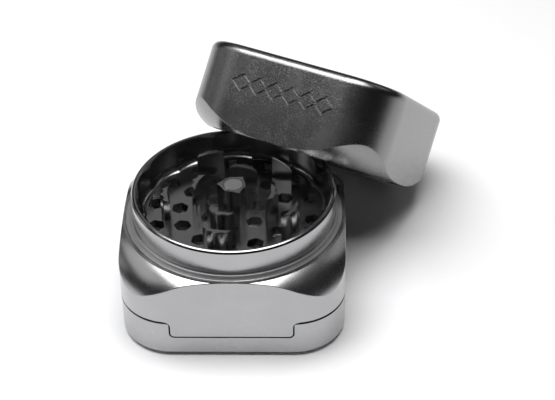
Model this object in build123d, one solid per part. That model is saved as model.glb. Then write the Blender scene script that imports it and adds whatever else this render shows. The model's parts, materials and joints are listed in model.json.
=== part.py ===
"""Square magnetic herb grinder with its lid off, leaning on the collar.

Frame: millimetres, +Z up, origin at the centre of the base tray's resting face. The front of the body, with
the tab, faces -Y. The lid is drawn closed, about its own axis with its mouth at zero, and then leaned.
"""

from build123d import *
from math import cos, degrees, hypot, radians, sin
import os

# Outline of the body and the lid
WIDTH = 56.0
CORNER_R = 13.0
CORNER_REACH = (WIDTH / 2 - CORNER_R) * 2**0.5 + CORNER_R

# Heights of the stack
PARTING_Z = 10.85
SHOULDER_Z = 23.48
LEDGE_Z = 23.68
COLLAR_Z = 30.96
POST_Z = 32.0

# Rounded shoulders of the body's top and the lid's mouth: domes that cut the corners away, each
# (radius where it starts, radius and drop half way down, drop at the corner)
BODY_DOME = (28.3, 31.2, 1.8, 6.25)
LID_DOME = (27.9, 30.85, 1.7, 6.45)
DOME_EDGE_BREAK = 0.1

# Base tray: an undercut foot, and a shadow groove under the seam
FOOT_UNDERCUT = 2.1
FOOT_HEIGHT = 1.25
SEAM_HEIGHT = 0.42
SEAM_DEPTH = 0.9
EDGE_BREAK = 0.12
BOWL_R = 21.5
BOWL_FLOOR_Z = 2.0
BOWL_FILLET = 3.0

# Tab of the middle body and its notch in the base tray
TAB_HALF = 15.0
TAB_Z = 6.3
TAB_DEPTH = 3.0
TAB_FLARE_R = 1.5
TAB_CORNER_R = 1.0
TAB_GAP = 0.4

# Magnets
CATCH_MAGNET_D = 5.0
CATCH_MAGNET_H = 2.0
CATCH_MAGNET_XY = 20.4
POST_MAGNET_D = 5.0
POST_MAGNET_H = 2.4
MAGNET_RECESS = 0.03
MAGNET_BEVEL = 0.2

# Middle body
BORE_R = 23.5
SCREEN_SEAT_R = 24.6
SCREEN_SEAT_Z = 13.2
SNAP_GROOVE_R = 25.2
SNAP_Z = 11.5
SNAP_H = 0.8
SNAP_OPENING = 26.0
FRAME_H = 0.8
FRAME_INNER_R = 22.2
MESH_H = 0.2
FLANGE_R = 27.4
FLANGE_Z = 22.3
FLANGE_GAP = 0.06
PIN_R = 25.1
PIN_D = 1.8
PIN_BOTTOM_Z = 20.3
PIN_TOP_Z = 22.95
PIN_ANGLES = (0, 180)

# Grinding chamber
FLOOR_Z = 23.3
FLOOR_UNDER_Z = 21.0
FLOOR_R = 22.9
PLUG_R = 23.42
PLUG_INNER_R = 21.6
PLUG_Z = 18.5
SEAL_SECTION = 1.0
SEAL_Z = 20.4
COLLAR_R = 25.65
RIM_CHAMFER = 0.36
RIM_CHAMFER_H = 0.42
RIM_SLOPE = 0.35
RIM_SLOPE_H = 0.12
RIM_INNER_BEVEL = 0.22
FLANGE_FILLET = 0.16
STEP_R = 26.35
STEP_Z = 24.45
SCALLOPS = 14
SCALLOP_R = 12.0
SCALLOP_OUT_R = 24.35
SCALLOP_PHASE = 93.4
CHAMBER_FILLET = 1.9
TOOTH_TOP_Z = 30.5

# Teeth: crescents whose outer face is fluted between cusps, each flute (end across, depth)
TOOTH_HALF = 3.7
TOOTH_INNER = -0.55
TOOTH_OUTER = 1.35
TOOTH_FLUTES = ((-2.1, 0.28), (0.1, 0.45), (2.4, 0.42), (TOOTH_HALF, -0.12))
TOOTH_BEVEL = 0.12
INNER_TEETH_R = 10.0
INNER_TEETH = (-9, 76, 158, 252)
OUTER_TEETH_R = 17.0
OUTER_TEETH = (-30, 42, 114, 186, 258)

# Holes in the chamber floor: rings of rounded hexagons, each (radius, first angle, count)
HOLE_LENGTH = 4.6
HOLE_WIDTH = 3.9
HOLE_CORNER_R = 0.45
HOLE_RINGS = ((6.7, -38.0, 6), (13.9, -36.0, 12), (20.15, SCALLOP_PHASE, SCALLOPS))

# Centre post
POST_R = 3.1
POST_WING_R = 4.1
POST_WING_HALF = 24
POST_BEVEL = 0.12
POST_WINGS = (54, 174, 294)

# Lid
LID_HEIGHT = 22.3
LID_TOP_FILLET = 2.2
LID_CAVITY_R = 26.1
LID_CAVITY_H = 8.4
LID_MOUTH_R = 26.7
LID_MOUTH_H = 0.9
LID_FILLET = 0.8
LID_TOOTH_TIP = 3.65
LID_TEETH_RINGS = ((6.6, 30.0, 3), (13.5, 0.0, 4), (20.75, 20.0, 6))
FRICTION_H = 1.0
FRICTION_INNER_R = 24.3

# Generic engraving on the lid's front face: a row of linked lozenges
ENGRAVE_COUNT = 6
ENGRAVE_PITCH = 4.7
ENGRAVE_LONG = 6.4
ENGRAVE_TALL = 5.0
ENGRAVE_LINE = 0.6
ENGRAVE_DEPTH = 0.35
ENGRAVE_Z = 13.0

# How the lid leans: on the middle of its lower back edge, mouth towards the collar
LEAN_TILT = 40.1
LEAN_TURN = -27.5
LEAN_REACH = 36.05
LEAN_SIDE = 1.75
LEAN_LIFT = 0.05


def outline(inset=0.0):
    """Rounded square of the body and the lid, drawn in by inset."""
    side = WIDTH - 2 * inset
    return RectangleRounded(side, side, CORNER_R - inset)


def prism(bottom, top, inset=0.0):
    return Pos(0, 0, bottom) * extrude(outline(inset), top - bottom)


def disc(radius, bottom, top):
    return Pos(0, 0, bottom) * Cylinder(radius, top - bottom, align=(Align.CENTER, Align.CENTER, Align.MIN))


def ring(outer, inner, bottom, top):
    return disc(outer, bottom, top) - disc(inner, bottom - 1, top + 1)


def polar(radius, angle):
    """A place on a ring, turned so that its own X points outwards."""
    return Rot(0, 0, angle) * Pos(radius, 0, 0)


def shoulder_cutter(start_r, middle_r, middle_drop, drop):
    """Everything above the dome that rounds off the corners, for a top face at zero."""
    start, end = (start_r, 0), (CORNER_REACH, -drop)
    beyond = (CORNER_REACH + 1, -drop - 1.8)
    profile = make_face(
        ThreePointArc(start, (middle_r, -middle_drop), end)
        + Polyline(end, beyond, (CORNER_REACH + 2, 2), (start_r, 2), start)
    )
    return revolve(Plane.XZ * profile, Axis.Z)


def break_dome_edges(body):
    """Takes the sharpness off where a dome meets the sides."""
    return chamfer(body.edges().filter_by(GeomType.BSPLINE), DOME_EDGE_BREAK)


def tab_outline(gap):
    """Front view of the tab, grown by gap, with flared roots that meet the parting plane."""
    side, low = TAB_HALF + gap, TAB_Z - gap
    flare, corner = TAB_FLARE_R - gap, TAB_CORNER_R + gap
    root = side + flare
    top = PARTING_Z + 2
    wedge = PARTING_Z - flare
    bend = flare * (1 - 0.5**0.5)
    turn = corner * (1 - 0.5**0.5)
    half = [
        Line((0, low), (side - corner, low)),
        ThreePointArc((side - corner, low), (side - turn, low + turn), (side, low + corner)),
        Line((side, low + corner), (side, wedge)),
        ThreePointArc((side, wedge), (side + bend, PARTING_Z - bend), (root, PARTING_Z)),
        Polyline((root, PARTING_Z), (root, top), (0, top), (0, low)),
    ]
    face = make_face(half)
    return face + mirror(face, Plane.YZ)


def tab_block(gap, depth):
    """The tab or its notch as a block from the front face inwards."""
    face = Plane.XZ * tab_outline(gap)
    return Pos(0, -WIDTH / 2 + depth, 0) * extrude(face, depth + 2, dir=(0, -1, 0))


def both_faces(shape):
    """The shape at the front and again, turned half round, at the back."""
    return shape + Rot(0, 0, 180) * shape


def corner_places():
    xy = CATCH_MAGNET_XY
    return [(xy, xy), (-xy, xy), (-xy, -xy), (xy, -xy)]


def catch_pockets(z, depth):
    pocket = disc(CATCH_MAGNET_D / 2, z, z + depth)
    return [Pos(x, y, 0) * pocket for x, y in corner_places()]


def hex_hole():
    """Rounded hexagon, long across the radius of the chamber, as a flat face."""
    long, wide = HOLE_LENGTH / 2, HOLE_WIDTH / 2
    flat = long * 0.5
    points = [(0, long), (-wide, flat), (-wide, -flat), (0, -long), (wide, -flat), (wide, flat)]
    face = make_face(Polyline(*points, close=True))
    return fillet(face.vertices(), HOLE_CORNER_R)


def tooth_face(radius):
    """Plan of one tooth at a radius on +X: pointed ends, a smooth inner face and a fluted outer one."""
    foot = (radius**2 - TOOTH_HALF**2) ** 0.5 + TOOTH_INNER
    rise = radius + TOOTH_OUTER - foot
    bow = (TOOTH_HALF**2 + rise**2) / (2 * rise)
    centre = radius + TOOTH_OUTER - bow
    start = Vector(foot, -TOOTH_HALF)
    outline = ThreePointArc((foot, TOOTH_HALF), (radius + TOOTH_INNER, 0), start)
    for across, depth in TOOTH_FLUTES:
        end = Vector(centre + (bow**2 - across**2) ** 0.5, across)
        chord = end - start
        inwards = Vector(-chord.Y, chord.X).normalized()
        outline += ThreePointArc(start, (start + end) / 2 + inwards * depth, end)
        start = end
    return make_face(outline)


def teeth(radius, angles, root, tip):
    """Teeth round a ring from root to tip, either way up, with their tips bevelled."""
    one = Pos(0, 0, min(root, tip)) * extrude(tooth_face(radius), abs(tip - root))
    end = one.faces().sort_by(Axis.Z)[-1 if tip > root else 0]
    one = chamfer(end.edges(), TOOTH_BEVEL)
    return [Rot(0, 0, angle) * one for angle in angles]


def ring_angles(first, count):
    return [first + 360 / count * i for i in range(count)]


def base_tray():
    foot = loft([outline(FOOT_UNDERCUT), Pos(0, 0, FOOT_HEIGHT) * outline()])
    body = foot + prism(FOOT_HEIGHT, PARTING_Z - SEAM_HEIGHT)
    body = chamfer(body.faces().sort_by(Axis.Z)[-1].edges(), EDGE_BREAK)
    body += prism(PARTING_Z - 1, PARTING_Z, SEAM_DEPTH)
    bowl = disc(BOWL_R, BOWL_FLOOR_Z, PARTING_Z + 1)
    bowl = fillet(bowl.faces().sort_by(Axis.Z)[0].edges(), BOWL_FILLET)
    body -= bowl
    body -= both_faces(tab_block(TAB_GAP, TAB_DEPTH + TAB_GAP))
    body -= catch_pockets(PARTING_Z - MAGNET_RECESS - CATCH_MAGNET_H, CATCH_MAGNET_H + 1)
    return body


def middle_body():
    body = prism(PARTING_Z, SHOULDER_Z)
    body -= Pos(0, 0, SHOULDER_Z) * shoulder_cutter(*BODY_DOME)
    body = break_dome_edges(body)
    body = chamfer(body.faces().sort_by(Axis.Z)[0].edges(), EDGE_BREAK)
    tab = both_faces(tab_block(0, TAB_DEPTH)) & prism(TAB_Z - 1, PARTING_Z + 1)
    body += tab
    body -= disc(BORE_R, PARTING_Z - 1, LEDGE_Z + 1)
    body -= disc(SCREEN_SEAT_R, PARTING_Z - 1, SCREEN_SEAT_Z)
    body -= disc(SNAP_GROOVE_R, SNAP_Z - 0.05, SNAP_Z + SNAP_H + 0.05)
    body -= disc(FLANGE_R + FLANGE_GAP, FLANGE_Z, LEDGE_Z + 1)
    body -= catch_pockets(PARTING_Z - 1, MAGNET_RECESS + CATCH_MAGNET_H + 1)
    for angle in PIN_ANGLES:
        body -= polar(PIN_R, angle) * disc(PIN_D / 2, PIN_BOTTOM_Z, FLANGE_Z + 1)
    return body


def screen_frame():
    """Turned ring with a groove in its bore that holds the mesh."""
    bottom = SNAP_Z + SNAP_H
    body = ring(SCREEN_SEAT_R - 0.1, FRAME_INNER_R, bottom, bottom + FRAME_H)
    middle = bottom + FRAME_H / 2
    return body - disc(FRAME_INNER_R + 1, middle - MESH_H / 2, middle + MESH_H / 2)


def screen_mesh():
    middle = SNAP_Z + SNAP_H + FRAME_H / 2
    return disc(FRAME_INNER_R + 1, middle - MESH_H / 2, middle + MESH_H / 2)


def snap_ring():
    """Flat open ring; the opening faces the back, where a pick lifts it out."""
    body = ring(SNAP_GROOVE_R - 0.1, SCREEN_SEAT_R - 1.6, SNAP_Z, SNAP_Z + SNAP_H)
    opening = 2 * SNAP_GROOVE_R * sin(radians(SNAP_OPENING / 2))
    return body - Pos(0, SNAP_GROOVE_R, SNAP_Z) * Box(opening, 8, 4)


def drive_pin(angle):
    pin = disc(PIN_D / 2, PIN_BOTTOM_Z, PIN_TOP_Z)
    pin = chamfer(pin.faces().sort_by(Axis.Z)[-1].edges(), 0.2)
    return polar(PIN_R, angle) * pin


def chamber_cavity():
    """Space inside the collar: overlapping lobes with cusps between them, rounded into the floor."""
    face = Circle(SCALLOP_OUT_R - 1.6)
    for angle in ring_angles(SCALLOP_PHASE, SCALLOPS):
        face += polar(SCALLOP_OUT_R - SCALLOP_R, angle) * Circle(SCALLOP_R)
    tool = Pos(0, 0, FLOOR_Z) * extrude(face, COLLAR_Z - FLOOR_Z + 1)
    tool = fillet(tool.faces().sort_by(Axis.Z)[0].edges(), CHAMBER_FILLET)
    flare = Cone(SCALLOP_OUT_R - 1, SCALLOP_OUT_R + RIM_INNER_BEVEL, 1 + RIM_INNER_BEVEL)
    return tool + Pos(0, 0, COLLAR_Z - (1 + RIM_INNER_BEVEL) / 2) * flare


def rim_profile():
    """Half section of the collar: its rim slopes gently outwards and ends in a chamfer."""
    slope_r, slope_z = COLLAR_R - RIM_CHAMFER, COLLAR_Z - RIM_SLOPE_H
    points = [
        (0, FLANGE_Z),
        (COLLAR_R, FLANGE_Z),
        (COLLAR_R, slope_z - RIM_CHAMFER_H),
        (slope_r, slope_z),
        (slope_r - RIM_SLOPE, COLLAR_Z),
        (0, COLLAR_Z),
    ]
    return make_face(Polyline(*points, close=True))


def chamber_collar():
    """Ring of the turned insert: scalloped collar, step, flange and the plug below them."""
    collar = revolve(Plane.XZ * rim_profile(), Axis.Z)
    flange = disc(FLANGE_R, FLANGE_Z, LEDGE_Z)
    flange = fillet(flange.faces().sort_by(Axis.Z)[-1].edges(), FLANGE_FILLET)
    step = disc(STEP_R, FLANGE_Z, STEP_Z)
    step = fillet(step.faces().sort_by(Axis.Z)[-1].edges(), FLANGE_FILLET)
    body = collar + flange + step
    body += disc(PLUG_R, PLUG_Z, FLANGE_Z + 0.5)
    body -= disc(PLUG_INNER_R, PLUG_Z - 1, FLOOR_Z)
    body -= disc(FLOOR_R, FLOOR_UNDER_Z, FLOOR_Z)
    body -= ring(PLUG_R + 1, PLUG_R - SEAL_SECTION + 0.05, SEAL_Z - 0.55, SEAL_Z + 0.55)
    body -= chamber_cavity()
    for angle in PIN_ANGLES:
        body -= polar(PIN_R, angle) * disc(PIN_D / 2 + 0.05, FLANGE_Z - 1, PIN_TOP_Z + 0.1)
    return body


def chamber_floor():
    """Pierced floor of the insert, which the teeth and the post stand on."""
    body = disc(FLOOR_R, FLOOR_UNDER_Z, FLOOR_Z)
    hole = extrude(hex_hole(), FLOOR_Z - FLOOR_UNDER_Z + 2)
    for radius, first, count in HOLE_RINGS:
        for angle in ring_angles(first, count):
            body -= polar(radius, angle) * Pos(0, 0, FLOOR_UNDER_Z - 1) * hole
    return body


def chamber_teeth():
    inner = teeth(INNER_TEETH_R, INNER_TEETH, FLOOR_Z, TOOTH_TOP_Z)
    return inner + teeth(OUTER_TEETH_R, OUTER_TEETH, FLOOR_Z, TOOTH_TOP_Z)


def chamber_post():
    """Centre post with three low wings and a pocket for the closing magnet."""
    body = disc(POST_R, FLOOR_Z, POST_Z)
    across, along = POST_R * sin(radians(POST_WING_HALF)), POST_R * cos(radians(POST_WING_HALF))
    wing = make_face(Polyline((0, 0), (along, -across), (POST_WING_R, 0), (along, across), close=True))
    for angle in POST_WINGS:
        body += Rot(0, 0, angle) * Pos(0, 0, FLOOR_Z) * extrude(wing, POST_Z - FLOOR_Z)
    body = chamfer(body.faces().sort_by(Axis.Z)[-1].edges(), POST_BEVEL)
    return body - disc(POST_MAGNET_D / 2, POST_Z - MAGNET_RECESS - POST_MAGNET_H, POST_Z + 1)


def seal_ring():
    """O-ring in the plug's groove, a hair clear of the bore."""
    middle = PLUG_R - SEAL_SECTION / 2 + 0.06
    return Pos(0, 0, SEAL_Z) * Torus(middle, SEAL_SECTION / 2)


def lozenge(long, tall):
    points = [(long / 2, 0), (0, tall / 2), (-long / 2, 0), (0, -tall / 2)]
    return make_face(Polyline(*points, close=True))


def engraving():
    """Row of linked lozenge outlines, cut into the front face."""
    outer = lozenge(ENGRAVE_LONG, ENGRAVE_TALL)
    slope = hypot(ENGRAVE_LONG, ENGRAVE_TALL)
    shrink = 2 * ENGRAVE_LINE * slope
    inner = lozenge(ENGRAVE_LONG - shrink / ENGRAVE_TALL, ENGRAVE_TALL - shrink / ENGRAVE_LONG)
    link = extrude(Plane.XZ * (outer - inner), ENGRAVE_DEPTH + 1, dir=(0, -1, 0))
    first = -ENGRAVE_PITCH * (ENGRAVE_COUNT - 1) / 2
    row = Pos(first, ENGRAVE_DEPTH - WIDTH / 2, ENGRAVE_Z)
    return [row * Pos(ENGRAVE_PITCH * i, 0, 0) * link for i in range(ENGRAVE_COUNT)]


def closed_lid():
    body = prism(0, LID_HEIGHT)
    body = fillet(body.faces().sort_by(Axis.Z)[-1].edges(), LID_TOP_FILLET)
    body -= mirror(shoulder_cutter(*LID_DOME), Plane.XY)
    body = break_dome_edges(body)
    cavity = disc(LID_CAVITY_R, -1, LID_CAVITY_H)
    cavity = fillet(cavity.faces().sort_by(Axis.Z)[-1].edges(), LID_FILLET)
    body -= cavity
    body -= ring(LID_CAVITY_R, FRICTION_INNER_R, LID_CAVITY_H - FRICTION_H, LID_CAVITY_H)
    body -= disc(LID_MOUTH_R, -1, LID_MOUTH_H)
    body -= disc(POST_MAGNET_D / 2, 0, LID_CAVITY_H + MAGNET_RECESS + POST_MAGNET_H)
    body -= engraving()
    return body


def lid_teeth():
    """Teeth that hang from the cavity's ceiling into the rings between the chamber's teeth."""
    every = []
    for radius, first, count in LID_TEETH_RINGS:
        every += teeth(radius, ring_angles(first, count), LID_CAVITY_H, LID_TOOTH_TIP)
    return every


def friction_ring():
    """Flat low-friction ring against the lid's ceiling, over the collar's rim."""
    return ring(LID_CAVITY_R - 0.05, FRICTION_INNER_R, LID_CAVITY_H - FRICTION_H, LID_CAVITY_H)


def closing_magnet():
    """Disc magnet with bevelled rims, its top face at zero."""
    body = disc(POST_MAGNET_D / 2, -POST_MAGNET_H, 0)
    return chamfer(body.edges().filter_by(GeomType.CIRCLE), MAGNET_BEVEL)


def lid_magnet():
    return Pos(0, 0, LID_CAVITY_H + MAGNET_RECESS + POST_MAGNET_H) * closing_magnet()


def lean():
    """Place of the leaning lid's mouth centre and axis."""
    turn = radians(LEAN_TURN)
    x = -LEAN_REACH * sin(turn) + LEAN_SIDE * cos(turn)
    y = LEAN_REACH * cos(turn) + LEAN_SIDE * sin(turn)
    z = WIDTH / 2 * sin(radians(LEAN_TILT)) + LEAN_LIFT
    return Pos(x, y, z) * Rot(0, 0, LEAN_TURN) * Rot(-LEAN_TILT, 0, 0)


def catch_magnet(bottom):
    return disc(CATCH_MAGNET_D / 2, bottom, bottom + CATCH_MAGNET_H)


def all_parts():
    parts = {"base_tray": base_tray(), "middle_body": middle_body()}
    low = catch_magnet(PARTING_Z - MAGNET_RECESS - CATCH_MAGNET_H)
    high = catch_magnet(PARTING_Z + MAGNET_RECESS)
    for i, (x, y) in enumerate(corner_places(), 1):
        parts[f"base_magnet_{i}"] = Pos(x, y, 0) * low
        parts[f"body_magnet_{i}"] = Pos(x, y, 0) * high
    for i, angle in enumerate(PIN_ANGLES, 1):
        parts[f"drive_pin_{i}"] = drive_pin(angle)
    parts["screen_frame"] = screen_frame()
    parts["screen_mesh"] = screen_mesh()
    parts["snap_ring"] = snap_ring()
    parts["chamber_collar"] = chamber_collar()
    parts["chamber_floor"] = chamber_floor()
    parts["chamber_post"] = chamber_post()
    for i, tooth in enumerate(chamber_teeth(), 1):
        parts[f"chamber_tooth_{i}"] = tooth
    parts["seal_ring"] = seal_ring()
    top = POST_Z - MAGNET_RECESS
    parts["chamber_magnet"] = Pos(0, 0, top) * closing_magnet()
    leaning = lean()
    parts["friction_ring"] = leaning * friction_ring()
    parts["lid"] = leaning * closed_lid()
    for i, tooth in enumerate(lid_teeth(), 1):
        parts[f"lid_tooth_{i}"] = leaning * tooth
    parts["lid_magnet"] = leaning * lid_magnet()
    return parts


def main():
    os.makedirs("parts", exist_ok=True)
    for name, shape in all_parts().items():
        export_step(shape, f"parts/{name}.step")
    place = lean()
    print("lid mouth centre", place.position, "angles", place.orientation)


main()
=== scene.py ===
"""Looks of a square aluminium herb grinder, lid off and leaning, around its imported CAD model."""
import json
from math import cos, pi, radians, sin

import bpy
from mathutils import Euler, Matrix, Vector


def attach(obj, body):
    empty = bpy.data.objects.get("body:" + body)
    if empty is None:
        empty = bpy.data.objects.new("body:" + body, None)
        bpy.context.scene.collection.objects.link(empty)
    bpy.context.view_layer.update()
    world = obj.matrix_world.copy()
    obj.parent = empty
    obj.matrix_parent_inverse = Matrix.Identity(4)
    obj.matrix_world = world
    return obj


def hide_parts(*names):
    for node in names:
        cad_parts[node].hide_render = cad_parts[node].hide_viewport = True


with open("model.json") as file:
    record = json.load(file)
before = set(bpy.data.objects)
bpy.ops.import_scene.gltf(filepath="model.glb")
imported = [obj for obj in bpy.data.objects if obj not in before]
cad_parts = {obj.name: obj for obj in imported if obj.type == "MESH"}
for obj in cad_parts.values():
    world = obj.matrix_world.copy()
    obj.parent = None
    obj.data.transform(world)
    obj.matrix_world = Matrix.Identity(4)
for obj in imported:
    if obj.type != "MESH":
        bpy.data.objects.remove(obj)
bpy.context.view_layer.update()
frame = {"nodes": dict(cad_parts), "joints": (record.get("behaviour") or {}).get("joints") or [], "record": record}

MM = 0.001

# Camera: a lens of about 93 mm, from above and just right of the front
CAMERA_TARGET = Vector((10.9, 3.55, 24.3)) * MM
CAMERA_AZIMUTH = 1.34
CAMERA_ELEVATION = 37.61
CAMERA_ROLL = -0.75
CAMERA_DISTANCE = 364.6 * MM
CAMERA_LENS = 92.9
CAMERA_SENSOR = 36
CAMERA_CLIP = 10 * MM

# The leaning lid's axis and mouth centre, as its joint gives them
JOINTS = {joint["name"]: joint for joint in frame["joints"]}
LID_AXIS = Vector(JOINTS["lid_turn"]["axis"])
LID_MOUTH = Vector(JOINTS["lid_turn"]["pos_m"])

# Greys of the metals and colours of the rest, linear
BODY_GREY = 0.42
LID_GREY = 0.26
CHAMBER_GREY = 0.32
STEEL_GREY = 0.5
NICKEL_GREY = 0.55
RUBBER_COLOUR = (0.02, 0.02, 0.021)
PLASTIC_COLOUR = (0.78, 0.78, 0.76)

# The part of a noise's range that greys and roughness follow, and how much bluer than neutral a grey is
NOISE_LOW = 0.3
NOISE_HIGH = 0.7
GREY_TINT = 1.01

# Metal: how far its grey and roughness wander, and its clouds and streaks with their share of the whole
METAL_GREY_SPREAD = (0.94, 1.05)
METAL_ROUGHNESS_SPREAD = (0.86, 1.16)
CLOUD_SIZE = 9 * MM
CLOUD_SHARE = 0.6
STREAK_SIZE = 0.4 * MM
STREAK_SHARE = 0.5

# Turned finish of the chamber: its colour painted lighter by a share beyond one radius, a painted sheen for the
# light its outer wall and ledge catch, rougher on the ledge beyond another, with fine lathe lines all over
PAINTED_SHEEN_R = 25.3 * MM
OUTER_PAINTED_SHEEN = 0.34
LEDGE_R = 25.75 * MM
LEDGE_ROUGHNESS = 0.42
RING_PITCH = 0.12 * MM
RING_STRENGTH = 0.06
RING_DEPTH = 0.01 * MM

# Rubber and plastic: how far their colour and roughness wander, the clouds' size and the grain's depth
SOFT_COLOUR_SPREAD = (0.85, 1.12)
SOFT_ROUGHNESS_SPREAD = (0.85, 1.15)
SOFT_CLOUD_SIZE = 4 * MM
SOFT_GRAIN_DEPTH = 0.03 * MM

# Woven screen: pitch of the wires, their radius, and how far out of their plane they weave
WIRE_PITCH = 0.6 * MM
WIRE_R = 0.05 * MM
WEAVE = 0.048 * MM
WIRE_SIDES = 5

# The circle that the wires fill, and its height
SCREEN_R = 23.1 * MM
SCREEN_Z = 12.7 * MM

# Edges that turn by more than this, in degrees, stay sharp
SHARP_ANGLE = 24

# Floor: a sheet of white paper, half its width first
FLOOR_HALF = 1.5
FLOOR_GREY = (0.94, 0.96)
FLOOR_ROUGHNESS = 0.9
FLOOR_SPECULAR = 0.1
FLOOR_CLOUD_SIZE = 40 * MM

# Softbox over the object, a little to its left: its place, the point it faces, its size and its watts
SOFTBOX_PLACE = Vector((-0.08, 0.01, 0.62))
SOFTBOX_TARGET = Vector((-0.06, 0.01, 0.0))
SOFTBOX_WIDTH = 0.42
SOFTBOX_DEPTH = 0.6
SOFTBOX_POWER = 5.2

# Cards that the polished faces mirror: azimuth and elevation in degrees as the object sees them, with
# the front at 0 and the right at 90, then width, height and radiance
CARDS = {
    "left_card": (-100, 37, 0.54, 0.26, 0.75),
    "left_low_card": (-108, 12, 0.28, 0.14, 0.5),
    "right_back_card": (124, 37, 0.34, 0.24, 0.5),
    "back_card": (-165, 38, 0.28, 0.2, 0.3),
}
CARD_TARGET = Vector((0.01, 0.01, 0.03))
CARD_DISTANCE = 0.7

# The dark studio round the object
WORLD_COLOUR = (0.015, 0.015, 0.0153, 1)


# ---------------------------------------------------------------- nodes

class Tree:
    """A material's nodes, made and joined by short calls."""

    def __init__(self, name):
        self.material = bpy.data.materials.new(name)
        self.material.use_nodes = True
        self.nodes = self.material.node_tree.nodes
        self.links = self.material.node_tree.links
        self.shader = self.nodes["Principled BSDF"]

    def node(self, kind, **settings):
        made = self.nodes.new("ShaderNode" + kind)
        for key, value in settings.items():
            setattr(made, key, value)
        return made

    def join(self, source, target):
        self.links.new(source, target)

    def math(self, operation, first, second=0.0):
        made = self.node("Math", operation=operation)
        for socket, value in zip(made.inputs, (first, second)):
            if isinstance(value, (int, float)):
                socket.default_value = value
            else:
                self.join(value, socket)
        return made.outputs[0]

    def blend(self, first, second, share):
        """Two values mixed, the first with a share of the whole."""
        return self.math("ADD", self.math("MULTIPLY", first, share), self.math("MULTIPLY", second, 1 - share))

    def coordinates(self, axis=None, centre=None):
        """Object coordinates in metres, or a place's own, with Z along its axis."""
        place = self.node("TexCoord").outputs["Object"]
        if axis is None:
            return place
        shift = self.node("VectorMath", operation="SUBTRACT")
        shift.inputs[1].default_value = centre
        self.join(place, shift.inputs[0])
        turn = self.node("Mapping", vector_type="POINT")
        turn.inputs["Rotation"].default_value = axis.rotation_difference(Vector((0, 0, 1))).to_euler()
        self.join(shift.outputs[0], turn.inputs["Vector"])
        return turn.outputs[0]

    def noise(self, place, size, detail=2, roughness=0.5, stretch=None):
        """Noise whose features are about size metres across."""
        if stretch is not None:
            squeeze = self.node("Mapping")
            squeeze.inputs["Scale"].default_value = stretch
            self.join(place, squeeze.inputs["Vector"])
            place = squeeze.outputs[0]
        made = self.node("TexNoise")
        made.inputs["Scale"].default_value = 1 / size
        made.inputs["Detail"].default_value = detail
        made.inputs["Roughness"].default_value = roughness
        self.join(place, made.inputs["Vector"])
        return made.outputs["Fac"]

    def spread(self, value, middle, shares):
        """A noise turned into a value that wanders between two shares of a middle one."""
        made = self.node("MapRange")
        made.inputs["From Min"].default_value = NOISE_LOW
        made.inputs["From Max"].default_value = NOISE_HIGH
        made.inputs["To Min"].default_value = middle * shares[0]
        made.inputs["To Max"].default_value = middle * shares[1]
        self.join(value, made.inputs[0])
        return made.outputs[0]

    def grey(self, value, low, high, lift=None):
        """Colour between two greys, times a lift if one is given (for the chamber, its painted sheen)."""
        ramp = self.node("ValToRGB")
        ends = ramp.color_ramp.elements
        for end, position, level in zip(ends, (NOISE_LOW, NOISE_HIGH), (low, high)):
            end.position = position
            end.color = (level, level, level * GREY_TINT, 1)
        self.join(value, ramp.inputs[0])
        colour = ramp.outputs[0]
        if lift is not None:
            scaled = self.node("VectorMath", operation="SCALE")
            self.join(colour, scaled.inputs[0])
            self.join(lift, scaled.inputs["Scale"])
            colour = scaled.outputs[0]
        self.join(colour, self.shader.inputs["Base Color"])

    def bump(self, height, strength, distance, below=None):
        made = self.node("Bump")
        made.inputs["Strength"].default_value = strength
        made.inputs["Distance"].default_value = distance
        self.join(height, made.inputs["Height"])
        if below is not None:
            self.join(below, made.inputs["Normal"])
        return made.outputs[0]

    def cylinder(self, place):
        """Distance from the Z axis, and height."""
        split = self.node("SeparateXYZ")
        self.join(place, split.inputs[0])
        x, y, z = split.outputs
        square = self.math("ADD", self.math("MULTIPLY", x, x), self.math("MULTIPLY", y, y))
        return self.math("SQRT", square), z

    def rings(self, place, pitch):
        """Lathe lines: a wave of the distance from the axis and of the height along it."""
        radius, height = self.cylinder(place)
        return self.math("SINE", self.math("MULTIPLY", self.math("ADD", radius, height), 2 * pi / pitch))


def metal(name, grey, roughness, grain=0.16 * MM, grain_strength=0.25, grain_depth=0.02 * MM,
          axis=None, centre=None, streak=None, turned=False):
    """Bare metal with grain and a cloudy polish, streaked or turned like the chamber if asked for, the turned kind
    with a painted sheen on its outer faces.
    """
    tree = Tree(name)
    tree.shader.inputs["Metallic"].default_value = 1.0
    place = tree.coordinates(axis, centre)
    cloud = tree.noise(place, CLOUD_SIZE, detail=3)
    grains = tree.noise(place, grain, roughness=0.6)
    mixed = tree.blend(cloud, grains, CLOUD_SHARE)
    lift = None
    if turned:
        # Beyond one radius the grey is painted lighter: a painted sheen on the outer wall and ledge, the same
        # metal as inside
        radius = tree.cylinder(place)[0]
        painted_sheen_mask = tree.math("GREATER_THAN", radius, PAINTED_SHEEN_R)
        lift = tree.math("ADD", tree.math("MULTIPLY", painted_sheen_mask, OUTER_PAINTED_SHEEN), 1.0)
    darkest, lightest = [grey * share for share in METAL_GREY_SPREAD]
    tree.grey(mixed, darkest, lightest, lift)
    worn = mixed
    if streak is not None:
        worn = tree.blend(mixed, tree.noise(place, STREAK_SIZE, stretch=streak), 1 - STREAK_SHARE)
    rough = tree.spread(worn, roughness, METAL_ROUGHNESS_SPREAD)
    if turned:
        ledge = tree.math("GREATER_THAN", radius, LEDGE_R)
        rough = tree.math("ADD", rough, tree.math("MULTIPLY", ledge, LEDGE_ROUGHNESS - roughness))
    tree.join(rough, tree.shader.inputs["Roughness"])
    normal = tree.bump(grains, grain_strength, grain_depth)
    if turned:
        normal = tree.bump(tree.rings(place, RING_PITCH), RING_STRENGTH, RING_DEPTH, normal)
    tree.join(normal, tree.shader.inputs["Normal"])
    return tree.material


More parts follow.
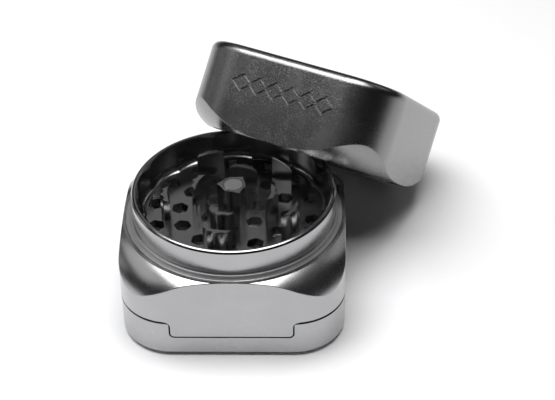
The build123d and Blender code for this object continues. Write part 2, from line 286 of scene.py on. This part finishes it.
def soft_surface(name, colour, roughness, grain, strength):
    """Rubber or plastic with a fine moulded grain."""
    tree = Tree(name)
    place = tree.coordinates()
    grains = tree.noise(place, grain, detail=3)
    cloud = tree.noise(place, SOFT_CLOUD_SIZE)
    ramp = tree.node("ValToRGB")
    for end, share in zip(ramp.color_ramp.elements, SOFT_COLOUR_SPREAD):
        end.color = (*[level * share for level in colour], 1)
    tree.join(cloud, ramp.inputs[0])
    tree.join(ramp.outputs[0], tree.shader.inputs["Base Color"])
    tree.join(tree.spread(grains, roughness, SOFT_ROUGHNESS_SPREAD), tree.shader.inputs["Roughness"])
    tree.join(tree.bump(grains, strength, SOFT_GRAIN_DEPTH), tree.shader.inputs["Normal"])
    return tree.material


def make_materials():
    return {
        "body": metal("body_metal", BODY_GREY, roughness=0.26, grain_strength=0.07),
        "chamber": metal("chamber_metal", CHAMBER_GREY, roughness=0.19, grain_strength=0.05, turned=True),
        "lid": metal("lid_metal", LID_GREY, roughness=0.26, grain=0.26 * MM, grain_strength=1.0,
                     grain_depth=0.04 * MM, axis=LID_AXIS, centre=LID_MOUTH),
        "magnet": metal("magnet_nickel", NICKEL_GREY, roughness=0.16, grain=0.3 * MM, grain_strength=0.1),
        "steel": metal("spring_steel", STEEL_GREY, roughness=0.25, streak=(1, 1, 0.1)),
        "wire": metal("screen_wire", STEEL_GREY, roughness=0.3, grain=0.05 * MM),
        "rubber": soft_surface("seal_rubber_black", RUBBER_COLOUR, roughness=0.55, grain=0.1 * MM,
                               strength=0.3),
        "plastic": soft_surface("ring_plastic_white", PLASTIC_COLOUR, roughness=0.35, grain=0.2 * MM,
                                strength=0.15),
    }


def paint(materials):
    """Gives every CAD node its material."""
    slots = {
        "body_aluminium": "body", "lid_aluminium": "lid", "chamber_aluminium": "chamber",
        "magnet_nickel": "magnet", "steel": "steel", "mesh_steel": "wire",
        "seal_rubber": "rubber", "ring_plastic": "plastic",
    }
    for part in frame["record"]["subparts"]:
        node = frame["nodes"][part["node"]]
        node.data.materials.clear()
        node.data.materials.append(materials[slots[part["material_slot"]]])
        node.data.shade_smooth()
        node.data.set_sharp_from_angle(angle=radians(SHARP_ANGLE))


# ---------------------------------------------------------------- screen

def wire(points, side, up):
    """Ring after ring of vertices round a line of points, in the plane of its side and up."""
    vertices = []
    for point in points:
        for i in range(WIRE_SIDES):
            angle = 2 * pi * i / WIRE_SIDES
            vertices.append(point + (side * cos(angle) + up * sin(angle)) * WIRE_R)
    return vertices


def make_screen(material):
    """Wire cloth: wires both ways, each over and under those it crosses, inside a circle."""
    vertices, faces = [], []
    up = Vector((0, 0, 1))
    count = int(SCREEN_R / WIRE_PITCH)
    for run, side in ((Vector((1, 0, 0)), Vector((0, 1, 0))), (Vector((0, 1, 0)), Vector((-1, 0, 0)))):
        over = 1 if run.x else -1
        for row in range(-count, count + 1):
            offset = row * WIRE_PITCH
            reach = int(2 * (SCREEN_R**2 - offset**2) ** 0.5 / WIRE_PITCH)
            points = []
            for half_step in range(-reach, reach + 1):
                lift = WEAVE * over * cos(pi * (half_step / 2 + row))
                points.append(run * (half_step * WIRE_PITCH / 2) + side * offset + up * (SCREEN_Z + lift))
            start = len(vertices)
            vertices += wire(points, side, up)
            for step in range(len(points) - 1):
                for i in range(WIRE_SIDES):
                    here, there = start + step * WIRE_SIDES, start + (step + 1) * WIRE_SIDES
                    after = (i + 1) % WIRE_SIDES
                    faces.append((here + i, here + after, there + after, there + i))
    mesh = bpy.data.meshes.new("screen_cloth")
    mesh.from_pydata(vertices, [], faces)
    mesh.shade_smooth()
    cloth = bpy.data.objects.new("screen_cloth", mesh)
    bpy.context.scene.collection.objects.link(cloth)
    mesh.materials.append(material)
    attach(cloth, "middle")
    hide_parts("screen_mesh")


# ---------------------------------------------------------------- stage

def make_floor():
    mesh = bpy.data.meshes.new("floor")
    signs = ((-1, -1), (1, -1), (1, 1), (-1, 1))
    corners = [(x * FLOOR_HALF, y * FLOOR_HALF, 0) for x, y in signs]
    mesh.from_pydata(corners, [], [(0, 1, 2, 3)])
    floor = bpy.data.objects.new("floor", mesh)
    bpy.context.scene.collection.objects.link(floor)
    tree = Tree("floor_paper")
    tree.shader.inputs["Roughness"].default_value = FLOOR_ROUGHNESS
    tree.shader.inputs["Specular IOR Level"].default_value = FLOOR_SPECULAR
    tree.grey(tree.noise(tree.coordinates(), FLOOR_CLOUD_SIZE), *FLOOR_GREY)
    mesh.materials.append(tree.material)


def area_light(name, place, target, width, height, power):
    data = bpy.data.lights.new(name, "AREA")
    data.shape = "RECTANGLE"
    data.size = width
    data.size_y = height
    data.energy = power
    light = bpy.data.objects.new(name, data)
    light.location = place
    light.rotation_euler = (target - place).to_track_quat("-Z", "Y").to_euler()
    bpy.context.scene.collection.objects.link(light)


def direction(azimuth, elevation):
    """Unit vector away from the object, with the azimuth from the front towards the right."""
    turn, lift = radians(azimuth), radians(elevation)
    return Vector((sin(turn) * cos(lift), -cos(turn) * cos(lift), sin(lift)))


def make_lights():
    area_light("overhead_softbox", SOFTBOX_PLACE, SOFTBOX_TARGET, SOFTBOX_WIDTH, SOFTBOX_DEPTH, SOFTBOX_POWER)
    for name, (azimuth, elevation, width, height, radiance) in CARDS.items():
        place = CARD_TARGET + direction(azimuth, elevation) * CARD_DISTANCE
        area_light(name, place, CARD_TARGET, width, height, radiance * pi * width * height)
    world = bpy.data.worlds.new("studio")
    bpy.context.scene.world = world
    world.use_nodes = True
    world.node_tree.nodes["Background"].inputs[0].default_value = WORLD_COLOUR


def make_camera():
    data = bpy.data.cameras.new("camera")
    data.lens = CAMERA_LENS
    data.sensor_width = CAMERA_SENSOR
    data.clip_start = CAMERA_CLIP
    place = CAMERA_TARGET + direction(CAMERA_AZIMUTH, CAMERA_ELEVATION) * CAMERA_DISTANCE
    camera = bpy.data.objects.new("camera", data)
    level = Euler((pi / 2 - radians(CAMERA_ELEVATION), 0, radians(CAMERA_AZIMUTH))).to_matrix()
    turned = level @ Matrix.Rotation(radians(CAMERA_ROLL), 3, "Z")
    camera.matrix_world = Matrix.Translation(place) @ turned.to_4x4()
    bpy.context.scene.collection.objects.link(camera)
    bpy.context.scene.camera = camera


bpy.context.scene.view_settings.view_transform = "Standard"
MATERIALS = make_materials()
paint(MATERIALS)
make_screen(MATERIALS["wire"])
make_floor()
make_lights()
make_camera()
